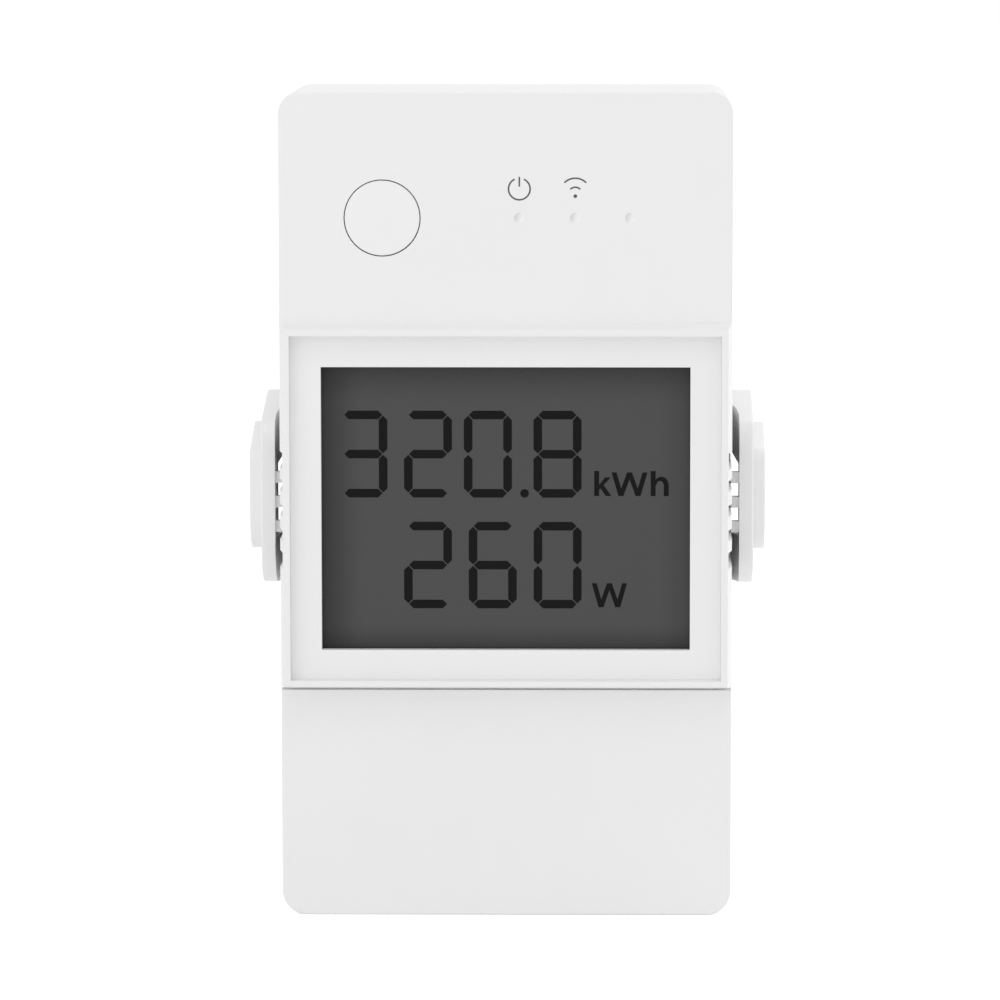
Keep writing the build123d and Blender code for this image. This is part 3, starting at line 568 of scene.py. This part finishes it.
def arc(centre, radii, start, end, count):
    """Points on an ellipse between two angles, one more than the count of steps."""
    points = []
    for index in range(count + 1):
        angle = math.radians(start + (end - start) * index / count)
        points.append((centre[0] + radii[0] * math.cos(angle), centre[1] + radii[1] * math.sin(angle)))
    return points


def circle(centre, radius, sides):
    """Closed round outline with no point given twice."""
    return arc(centre, (radius, radius), 0, FULL_TURN - FULL_TURN / sides, sides - 1)


def stroke_arc(centre, radius, start, end, width, count):
    """Outline of a curved stroke with round ends."""
    half, outside = width / 2, FULL_TURN / 2
    outer = arc(centre, (radius + half, radius + half), start, end, count)
    inner = arc(centre, (radius - half, radius - half), end, start, count)
    caps = []
    for angle, turned in ((end, end), (start, start + outside)):
        middle = arc(centre, (radius, radius), angle, angle, 1)[0]
        caps.append(arc(middle, (half, half), turned, turned + outside, CAP_STEPS)[1:-1])
    return outer + caps[0] + inner + caps[1]


def segment(letter, x, z, sizes):
    """Pointed bar of a seven-segment digit; x is its left side's middle and z its bottom segment's middle."""
    width, rise = sizes.digit_width / MM, sizes.half_height / MM
    half, gap = sizes.stroke / MM / 2, sizes.tip_gap / MM
    level = {"d": 0, "g": rise, "a": 2 * rise}
    if letter in level:
        y = z + level[letter]
        left, right = x + gap, x + width - gap
        return [
            (left, y), (left + half, y - half), (right - half, y - half),
            (right, y), (right - half, y + half), (left + half, y + half),
        ]
    middle = x + (width if letter in "bc" else 0)
    low = z + (rise if letter in "bf" else 0) + gap
    high = low + rise - 2 * gap
    return [
        (middle, low), (middle + half, low + half), (middle + half, high - half),
        (middle, high), (middle - half, high - half), (middle - half, low + half),
    ]


def letter_w(place, size):
    """Capital W: four slanted strokes of even width in one outline."""
    width, height = size
    left, middle = W_FOOT_SHARE * width, width / 2
    half = W_STROKE / 2
    valley = W_STROKE / (middle - half)
    apex = (middle - left - half) / (middle - left)
    side = [
        (0, height), (W_STROKE, height), (left - half + (middle - left) * valley, valley * height),
        (middle - half, height),
    ]
    foot = [(left - half, 0), (left + half, 0), (middle, apex * height)]
    points = side + [(width - x, z) for x, z in side[::-1]]
    points += [(width - x, z) for x, z in foot[:2]] + foot[:0:-1] + foot[:1]
    return moved(points, place)


def letter_k(place):
    """Small k: a stem, and an arm and a leg that meet beside it."""
    points = [
        (0, 0), (0, STEM_HEIGHT), (STEM_WIDTH, STEM_HEIGHT), (STEM_WIDTH, 1.3), (1.27, 2.2), (1.96, 2.2),
        (1.1, 1.3), (2.03, 0), (1.36, 0), (0.74, 0.92), (STEM_WIDTH, 0.72), (STEM_WIDTH, 0),
    ]
    return moved(points, place)


def letter_h(place):
    """Small h: a stem and an arch that springs from it."""
    points = [(0, 0), (0, STEM_HEIGHT), (STEM_WIDTH, STEM_HEIGHT), (STEM_WIDTH, 1.95)]
    points += arc((1.25, 1.33), (0.87, 0.96), 130, 0, 14)
    points += [(2.12, 0), (1.55, 0)]
    points += arc((1.1, 1.2), (0.45, 0.6), 0, 150, 12)
    points += [(STEM_WIDTH, 1.2), (STEM_WIDTH, 0)]
    return moved(points, place)


# Meshes. A depth is measured from the wall towards the front.

def front_of(node):
    """Depth of a node's front face."""
    return -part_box(node)[0].y / MM


def loop_at(shape, outline, depth):
    """An outline's points as vertices at a depth."""
    return [shape.verts.new((x * MM, -depth * MM, z * MM)) for x, z in outline]


def walls(shape, first, second):
    """Faces between two closed loops with as many points."""
    for index, corner in enumerate(first):
        after = (index + 1) % len(first)
        shape.faces.new((corner, second[index], second[after], first[after]))


def placed(name, shape, material):
    """A finished shape as an object of the scene."""
    mesh = bpy.data.meshes.new(name)
    shape.to_mesh(mesh)
    shape.free()
    mesh.materials.append(material)
    piece = bpy.data.objects.new(name, mesh)
    bpy.context.collection.objects.link(piece)
    return piece


def raised(name, outlines, depth, height, material):
    """Flat shapes raised towards the front from a depth, as one mesh object."""
    shape = bmesh.new()
    for outline in outlines:
        back = loop_at(shape, outline, depth)
        front = loop_at(shape, outline, depth + height)
        shape.faces.new(back)
        shape.faces.new(front[::-1])
        walls(shape, back, front)
    bmesh.ops.recalc_face_normals(shape, faces=shape.faces)
    return placed(name, shape, material)


def frame_ring(name, opening, thickness, depth, height, material):
    """Rectangular ring that lines an opening, given as its lower left corner and its size."""
    x, z, width, tall = opening
    shape = bmesh.new()
    loops = []
    for inset in (0, thickness):
        outline = box_outline(x + inset, z + inset, width - 2 * inset, tall - 2 * inset)
        loops += [loop_at(shape, outline, depth), loop_at(shape, outline, depth + height)]
    outer_back, outer_front, inner_back, inner_front = loops
    around = (outer_back, outer_front, inner_front, inner_back, outer_back)
    for first, second in zip(around, around[1:]):
        walls(shape, first, second)
    bmesh.ops.recalc_face_normals(shape, faces=shape.faces)
    return placed(name, shape, material)


def dish(name, radius, sink, material, rings=6, sides=48):
    """Round shallow dish that opens to the front, with its rim's middle at the object's origin."""
    shape = bmesh.new()
    middle = shape.verts.new((0, sink * MM, 0))
    inner = None
    for ring in range(1, rings + 1):
        share = ring / rings
        loop = loop_at(shape, circle((0, 0), radius * share, sides), -sink * (1 - share ** 2))
        if inner:
            walls(shape, inner, loop)
        else:
            for index, corner in enumerate(loop):
                shape.faces.new((middle, corner, loop[(index + 1) % sides]))
        inner = loop
    for face in shape.faces:
        face.smooth = True
    return placed(name, shape, material)


# Pieces

class MONITOR_OT_readout(bpy.types.Operator):
    """Add the lit segments of the two rows of digits"""
    bl_idname = "monitor.readout"
    bl_label = "Display digits"

    def execute(self, context):
        sizes = context.scene.monitor_readout
        ink = printed_ink("display_segments", context.scene.monitor_colours.segment)
        outlines = [segment(part, x, z, sizes) for digit, x, z in READOUT for part in SEGMENTS_LIT[digit]]
        outlines.append(circle(POINT_PLACE, POINT_RADIUS, POINT_SIDES))
        depth = front_of("display_polarizer")
        piece = raised("display_digits", outlines, depth, sizes.thickness / MM, ink)
        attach(piece, "case")
        return {"FINISHED"}


class MONITOR_OT_units(bpy.types.Operator):
    """Add the unit letters after the two rows of digits"""
    bl_idname = "monitor.units"
    bl_label = "Unit letters"

    def execute(self, context):
        thickness = context.scene.monitor_readout.thickness / MM
        ink = printed_ink("unit_segments", context.scene.monitor_colours.segment)
        outlines = [letter_k(K_PLACE), letter_w(*UPPER_W), letter_h(H_PLACE), letter_w(*LOWER_W)]
        depth = front_of("display_polarizer")
        piece = raised("display_units", outlines, depth, thickness, ink)
        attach(piece, "case")
        return {"FINISHED"}


class MONITOR_OT_seam(bpy.types.Operator):
    """Close the seam above the terminal cover with a lip that lies back from the surface"""
    bl_idname = "monitor.seam"
    bl_label = "Seam lip"

    def execute(self, context):
        finish = moulded("lip_plastic", context.scene.monitor_colours.case)
        low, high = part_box("terminal_cover")
        low, high = low / MM, high / MM
        level = high.z + LIP_GAP
        left, right = low.x + LIP_SINK, high.x - LIP_SINK
        back, front = LIP_GAP - high.y, -low.y - LIP_SINK
        turn = front - LIP_DEPTH
        across = [box_outline(left, level, right - left, LIP_HEIGHT)]
        along = [box_outline(x, level, LIP_DEPTH, LIP_HEIGHT) for x in (left, right - LIP_DEPTH)]
        for name, outlines, start, end in (
            ("seam_lip_front", across, turn, front), ("seam_lip_sides", along, back, turn),
        ):
            piece = raised(name, outlines, start, end - start, finish)
            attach(piece, "case")
        return {"FINISHED"}


class MONITOR_OT_shade_gasket(bpy.types.Operator):
    """Line the display window with a thin dark foam gasket that stands in for the shade at its edge"""
    bl_idname = "monitor.gasket"
    bl_label = "Window gasket"

    def execute(self, context):
        low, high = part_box("display_glass")
        low, high = low / MM, high / MM
        size = high - low
        opening = (
            low.x + GLASS_MARGIN, low.z + GLASS_MARGIN, size.x - 2 * GLASS_MARGIN, size.z - 2 * GLASS_MARGIN,
        )
        depth = front_of("display_polarizer")
        # Painted shade: a dark ring stands where the window's edge falls into shade.
        finish = foam("gasket_foam", SHADE_FOAM_BLACK)
        piece = frame_ring("display_gasket", opening, SHADE_GASKET_THICKNESS, depth, SHADE_GASKET_DEPTH, finish)
        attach(piece, "case")
        return {"FINISHED"}


class MONITOR_OT_button_seal(bpy.types.Operator):
    """Lay a thin dark seal in the gap round the power button, as painted shade in the gap"""
    bl_idname = "monitor.button_seal"
    bl_label = "Button seal"

    def execute(self, context):
        low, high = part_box("button_cap")
        low, high = low / MM, high / MM
        centre = ((low.x + high.x) / 2, (low.z + high.z) / 2)
        inner = BUTTON_RADIUS + SHADE_SEAL_PLAY
        outer = BUTTON_RADIUS + BUTTON_GAP - SHADE_SEAL_PLAY
        halves = []
        for start in (0, FULL_TURN / 2):
            end = start + FULL_TURN / 2
            outside = arc(centre, (outer, outer), start, end, SHADE_SEAL_STEPS)
            halves.append(outside + arc(centre, (inner, inner), end, start, SHADE_SEAL_STEPS))
        depth = front_of("button_cap") - SHADE_SEAL_SINK - SHADE_SEAL_DEPTH
        # Painted shade: a dark ring lies deep in the gap, where the gap falls into shade.
        piece = raised("button_seal", halves, depth, SHADE_SEAL_DEPTH, foam("seal_foam", SHADE_FOAM_BLACK))
        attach(piece, "case")
        return {"FINISHED"}


class MONITOR_OT_lenses(bpy.types.Operator):
    """Set a small dished lens in each status light"""
    bl_idname = "monitor.lenses"
    bl_label = "Light lenses"

    def execute(self, context):
        finish = lens_finish("light_lens", context.scene.monitor_colours.lens)
        # The button's face is level with the face that the lights are in.
        rim_depth = front_of("button_cap") - LENS_SINK
        floor_depth = front_of("light_guide") + LENS_SINK
        for index, x in enumerate(LIGHT_PLACES, 1):
            piece = dish(f"light_lens_{index}", LIGHT_RADIUS, rim_depth - floor_depth, finish)
            piece.location = Vector((x, -rim_depth, LIGHT_LEVEL)) * MM
            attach(piece, "case")
        return {"FINISHED"}


class MONITOR_OT_signs(bpy.types.Operator):
    """Print the power sign and the radio sign over the status lights"""
    bl_idname = "monitor.signs"
    bl_label = "Printed signs"

    def execute(self, context):
        sizes = context.scene.monitor_readout
        width, height = sizes.ink_width / MM, sizes.thickness / MM / 2
        # The button's face is level with the face that the signs are printed on.
        depth = front_of("button_cap")
        ink = printed_ink("sign_ink", context.scene.monitor_colours.print_ink)
        start = TOP_ANGLE + POWER_OPENING / 2
        end = start + FULL_TURN - POWER_OPENING
        power = [
            stroke_arc(POWER_PLACE, POWER_RADIUS, start, end, width, POWER_STEPS),
            box_outline(POWER_PLACE[0] - width / 2, POWER_BAR_FOOT, width, POWER_BAR_HEIGHT),
        ]
        radio = [
            stroke_arc((RADIO_X, z), radius, TOP_ANGLE - reach, TOP_ANGLE + reach, width, steps)
            for z, radius, reach, steps in RADIO_ARCS
        ]
        radio.append(circle((RADIO_X, RADIO_DOT_LEVEL), RADIO_DOT_RADIUS, RADIO_DOT_SIDES))
        for name, outlines in (("power_sign", power), ("radio_sign", radio)):
            piece = raised(name, outlines, depth, height, ink)
            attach(piece, "case")
        return {"FINISHED"}


# Finishes of the CAD nodes

def node_finishes(colours):
    """Each material with the nodes that take it."""
    return (
        (moulded("case_plastic", colours.case, grain=0.28), (
            "front_housing", "rear_housing", "left_vent_hood", "right_vent_hood", "terminal_cover")),
        (moulded("bezel_plastic", colours.case, roughness=0.42, grain=0.2), ("display_bezel",)),
        (moulded("button_plastic", colours.button, roughness=0.4, grain=0.2, relief=0.003), ("button_cap",)),
        (clear_sheet("milky_guide", (0.86, 0.86, 0.86), roughness=0.35, transmission=0.15), ("light_guide",)),
        (display_film_finish("display_film", colours.panel), ("display_polarizer",)),
        (clear_sheet("display_glass", (0.8, 0.86, 0.84), roughness=0.06, transmission=0.9, ior=1.52), (
            "display_glass",)),
        (rolled_metal("reflector_film", (0.72, 0.73, 0.74), roughness=0.4), ("display_reflector",)),
        (moulded("light_box", (0.74, 0.74, 0.72), roughness=0.55), ("display_backlight",)),
        (circuit_board("board_mask", (0.006, 0.07, 0.03), (0.02, 0.15, 0.06)), (
            "main_board", "display_board")),
        (circuit_board("radio_mask", (0.006, 0.016, 0.05), (0.02, 0.05, 0.12)), ("radio_module",)),
        (rolled_metal("gold_contact", (0.83, 0.62, 0.25), roughness=0.25), (
            "display_contacts", "header_pins")),
        (rolled_metal("spring_steel", (0.58, 0.58, 0.57), roughness=0.3, along=(0.04, 1, 1)), (
            "terminal_clamps", "relay_yoke", "relay_armature")),
        (rolled_metal("screw_steel", (0.62, 0.62, 0.63), roughness=0.28, along=(1, 0.08, 1)), (
            "housing_screws", "display_board_screws", "main_board_screws")),
        (rolled_metal("shield_metal", (0.7, 0.7, 0.68), roughness=0.26, along=(0.05, 1, 1)), ("radio_can",)),
        (wound_wire("winding", (0.72, 0.32, 0.12)), ("relay_coil",)),
        (cast_ferrite("core_iron", (0.05, 0.05, 0.055)), ("transformer_core",)),
        (moulded(
            "black_plastic", (0.022, 0.022, 0.023), roughness=0.45, grain=0.2, relief=0.006, mottle=0.1,
        ), ("controller_chip", "metering_chip", "header_strips")),
        (moulded("relay_plastic", (0.025, 0.09, 0.28), roughness=0.38, mottle=0.06), (
            "relay_base", "relay_case")),
        (dipped_coat("bobbin_tape", (0.72, 0.5, 0.08), roughness=0.3), ("transformer_bobbin",)),
        (dipped_coat("capacitor_can", (0.03, 0.035, 0.07), roughness=0.3), ("bulk_capacitors",)),
        (moulded("film_box", (0.55, 0.36, 0.06), roughness=0.4, grain=0.4, relief=0.006, mottle=0.05), (
            "film_capacitor",)),
        (dipped_coat("varistor_coat", (0.03, 0.12, 0.4)), ("varistor",)),
        (moulded("fuse_plastic", (0.05, 0.05, 0.05), roughness=0.36, grain=0.25, mottle=0.08), ("fuse",)),
        (rolled_metal("shunt_metal", (0.62, 0.42, 0.3), roughness=0.34), ("current_shunt",)),
        (moulded("terminal_plastic", (0.32, 0.33, 0.34), roughness=0.48, relief=0.005, mottle=0.04), (
            "terminal_housing",)),
        (moulded("release_plastic", (0.62, 0.2, 0.03), roughness=0.42, mottle=0.05), (
            "terminal_button_1", "terminal_button_2", "terminal_button_3", "terminal_button_4")),
        (clear_sheet("light_chip", (0.85, 0.75, 0.35), roughness=0.25, transmission=0.4), ("status_lights",)),
        (moulded(
            "switch_plastic", (0.035, 0.035, 0.036), roughness=0.42, grain=0.2, relief=0.005, mottle=0.08,
        ), ("switch_body", "switch_plunger")),
    )


class MONITOR_OT_finishes(bpy.types.Operator):
    """Give every CAD node its finish"""
    bl_idname = "monitor.finishes"
    bl_label = "Finishes"

    def execute(self, context):
        bare = set(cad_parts)
        for material, nodes in node_finishes(context.scene.monitor_colours):
            for node in nodes:
                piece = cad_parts[node]
                if not piece.material_slots:
                    piece.data.materials.append(material)
                for slot in piece.material_slots:
                    slot.material = material
                bare.discard(node)
        if bare:
            raise RuntimeError(f"no finish for {sorted(bare)}")
        return {"FINISHED"}


# Stage

def area_lamp(name, direction, distance, size, power):
    """Round soft lamp that stands off in a direction and looks at the part; lengths are in metres."""
    data = bpy.data.lights.new(name, "AREA")
    data.shape, data.size, data.energy = "DISK", size, power
    lamp = bpy.data.objects.new(name, data)
    bpy.context.collection.objects.link(lamp)
    away = Vector(direction).normalized()
    lamp.location = away * distance
    lamp.rotation_euler = away.to_track_quat("Z", "Y").to_euler()


def sky(level):
    """Even light all round, white where the camera sees it, straight, mirrored or through glass."""
    world = bpy.data.worlds.new("studio")
    world.use_nodes = True
    bpy.context.scene.world = world
    nodes = Nodes(world.node_tree)
    even, white = (
        nodes.add("ShaderNodeBackground", {}, {"Color": (1, 1, 1, 1), "Strength": strength})
        for strength in (level, 1)
    )
    both = nodes.add("ShaderNodeMixShader", {}, {0: nodes.seen(), 1: even, 2: white})
    nodes.add("ShaderNodeOutputWorld", {}, {"Surface": both})


def floor_finish(colour):
    """Pale floor that shows white to the camera and keeps the object's shadow."""
    finish = Finish("pale_floor")
    base = {"Base Color": finish.mix(finish.noise(6, 2), shade(colour, 0.99), colour), "Roughness": 0.9}
    glow = {"Emission Color": (1, 1, 1, 1), "Emission Strength": FLOOR_GLOW}
    plain = finish.add("ShaderNodeBsdfPrincipled", {}, base)
    lit = finish.add("ShaderNodeBsdfPrincipled", {}, {**base, **glow})
    both = finish.add("ShaderNodeMixShader", {}, {0: finish.seen(), 1: plain, 2: lit})
    finish.add("ShaderNodeOutputMaterial", {}, {"Surface": both})
    return finish.material


def add_floor(colour):
    """Square floor under the part's lowest point."""
    level = cad_box[0].z
    mesh = bpy.data.meshes.new("floor")
    outline = box_outline(-FLOOR_REACH, -FLOOR_REACH, 2 * FLOOR_REACH, 2 * FLOOR_REACH)
    mesh.from_pydata([(x * MM, y * MM, level) for x, y in outline], [], [(0, 1, 2, 3)])
    mesh.materials.append(floor_finish(colour))
    floor = bpy.data.objects.new("floor", mesh)
    bpy.context.collection.objects.link(floor)


def add_camera():
    """Camera at the photograph's viewing angle."""
    data = bpy.data.cameras.new("camera")
    data.sensor_width, data.lens, data.shift_x = CAMERA_SENSOR, CAMERA_LENS, CAMERA_SHIFT
    camera = bpy.data.objects.new("camera", data)
    bpy.context.collection.objects.link(camera)
    camera.location = Vector(CAMERA_PLACE) * MM
    camera.rotation_euler = (math.radians(90 - CAMERA_PITCH), 0, math.radians(CAMERA_TURN))
    bpy.context.scene.camera = camera


class MONITOR_OT_stage(bpy.types.Operator):
    """Set up the floor, the soft light and the camera"""
    bl_idname = "monitor.stage"
    bl_label = "Studio stage"

    def execute(self, context):
        settings = context.scene.monitor_stage
        context.scene.view_settings.view_transform = "Standard"
        sky(settings.sky)
        for *lamp, power in LAMPS:
            area_lamp(*lamp, getattr(settings, power))
        add_floor(settings.floor)
        add_camera()
        return {"FINISHED"}


class MONITOR_PT_panel(bpy.types.Panel):
    """Sizes, colours and steps of the energy monitor"""
    bl_idname = "MONITOR_PT_panel"
    bl_label = "Energy monitor"
    bl_space_type = "VIEW_3D"
    bl_region_type = "UI"
    bl_category = "Monitor"

    def draw(self, context):
        for group in GROUPS:
            settings = getattr(context.scene, group)
            box = self.layout.box()
            for name in settings.bl_rna.properties.keys():
                if name not in ("rna_type", "name"):
                    box.prop(settings, name)
        for step in STEPS:
            self.layout.operator(step.bl_idname)


GROUPS = {"monitor_colours": CaseColours, "monitor_readout": ReadoutSizes, "monitor_stage": StageSettings}
STEPS = (
    MONITOR_OT_stage,
    MONITOR_OT_finishes,
    MONITOR_OT_readout,
    MONITOR_OT_units,
    MONITOR_OT_seam,
    MONITOR_OT_shade_gasket,
    MONITOR_OT_button_seal,
    MONITOR_OT_lenses,
    MONITOR_OT_signs,
)
CLASSES = (*GROUPS.values(), *STEPS, MONITOR_PT_panel)


def register():
    for cls in CLASSES:
        bpy.utils.register_class(cls)
    for name, group in GROUPS.items():
        setattr(bpy.types.Scene, name, PointerProperty(type=group))


def unregister():
    for name in GROUPS:
        delattr(bpy.types.Scene, name)
    for cls in reversed(CLASSES):
        bpy.utils.unregister_class(cls)


def main():
    register()
    for step in STEPS:
        area, name = step.bl_idname.split(".")
        getattr(getattr(bpy.ops, area), name)()


if __name__ == "__main__":
    main()
